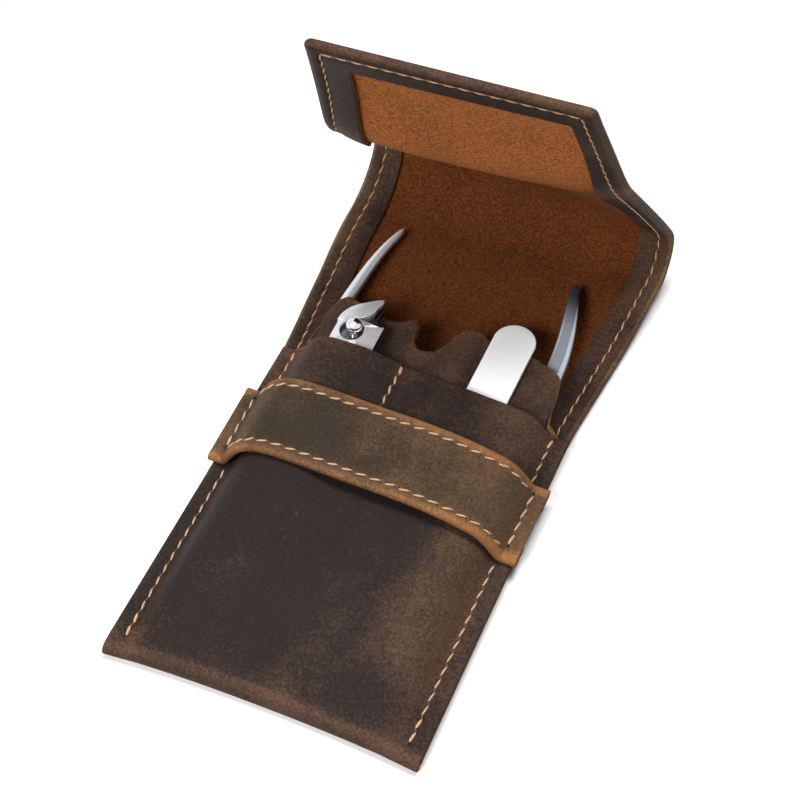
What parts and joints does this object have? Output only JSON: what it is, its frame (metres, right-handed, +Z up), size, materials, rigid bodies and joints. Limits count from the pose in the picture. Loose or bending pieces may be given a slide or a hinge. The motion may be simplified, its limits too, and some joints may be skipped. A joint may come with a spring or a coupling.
{
  "type": "manicure pouch",
  "caption": "Leather manicure pouch lying open on its back, its stitched flap standing up, with a strap loop, a nail clipper, a nail file and nail nippers in its pockets.",
  "frame": {"origin": "on the ground, under the middle of the pouch, where its back lies", "axes": "+Z up, +Y along the pouch from its bottom fold to the mouth and the flap, X across the bag"},
  "size_m": [0.0851, 0.1731, 0.1123],
  "materials": {
    "hide": "waxed dark brown pull-up leather outside, orange-brown suede inside",
    "border": "smooth dark brown leather",
    "strap": "waxed olive-brown pull-up leather with tan rolled edges",
    "suede": "orange-brown suede",
    "thread": "waxed beige to tan sewing thread",
    "polished_steel": "mirror polished nickel plate",
    "satin_steel": "fine satin steel"
  },
  "bodies": {
    "pouch": {"back_panel": "hide", "front_panel": "hide", "divider_panel": "hide", "fold_roll": "hide", "free_border_left": "border", "free_border_right": "border", "roll_border_left": "border", "roll_border_right": "border", "free_seam_left": "thread", "free_seam_right": "thread", "roll_seam_left": "thread", "roll_seam_right": "thread", "strap_lining": "suede", "strap_band": "strap", "strap_seam_lower": "thread", "strap_seam_upper": "thread", "side_seam_left": "thread", "side_seam_right": "thread", "mouth_seam_left": "thread", "mouth_seam_right": "thread", "strap_end_seam_left": "thread", "strap_end_seam_right": "thread", "pocket_seam": "thread"},
    "flap": {"flap_panel": "hide", "flap_border_left": "border", "flap_border_right": "border", "flap_seam_left": "thread", "flap_seam_right": "thread"},
    "tongue": {"tongue_panel": "hide", "tongue_border": "border", "tongue_seam": "thread"},
    "file": {"nail_file": "satin_steel"},
    "clipper": {"clipper_lower_arm": "polished_steel", "clipper_post": "polished_steel", "clipper_rivet": "polished_steel"},
    "clipper_top": {"clipper_upper_arm": "polished_steel", "clipper_lever": "polished_steel"},
    "nipper_left": {"nipper_half_left": "polished_steel", "nipper_screw": "polished_steel", "nipper_spring_left": "polished_steel"},
    "nipper_right": {"nipper_half_right": "polished_steel", "nipper_spring_right": "polished_steel"}
  },
  "joints": [
    {"name": "flap_fold", "type": "hinge", "parent": "pouch", "child": "flap", "pos_m": [0, 0.1055, 0.0185], "axis": [1, 0, 0], "range_deg": [-123, 53], "deforming": ["fold_roll", "roll_border_left", "roll_border_right", "roll_seam_left", "roll_seam_right"]},
    {"name": "tongue_bend", "type": "hinge", "parent": "flap", "child": "tongue", "pos_m": [0, 0.0851, 0.06405], "axis": [0.9954, 0.0464, 0.0843], "range_deg": [-25, 17]},
    {"name": "file_draw", "type": "slide", "parent": "pouch", "child": "file", "axis": [0, 1, 0], "range_m": [0, 0.03]},
    {"name": "clipper_draw", "type": "slide", "parent": "pouch", "child": "clipper", "axis": [0, 1, 0], "range_m": [0, 0.035]},
    {"name": "clipper_press", "type": "hinge", "parent": "clipper", "child": "clipper_top", "pos_m": [-0.0224, -0.004, 0.0103], "axis": [-1, 0, 0], "range_deg": [0, 0.6], "stiffness_Nm_per_rad": 20},
    {"name": "nipper_draw", "type": "slide", "parent": "pouch", "child": "nipper_left", "axis": [0, 1, 0], "range_m": [0, 0.008]},
    {"name": "nipper_squeeze", "type": "hinge", "parent": "nipper_left", "child": "nipper_right", "pos_m": [-0.001, 0.006, 0.0047], "axis": [0, 0, 1], "range_deg": [0, 4], "stiffness_Nm_per_rad": 2, "deforming": ["nipper_spring_left", "nipper_spring_right"]}
  ]
}
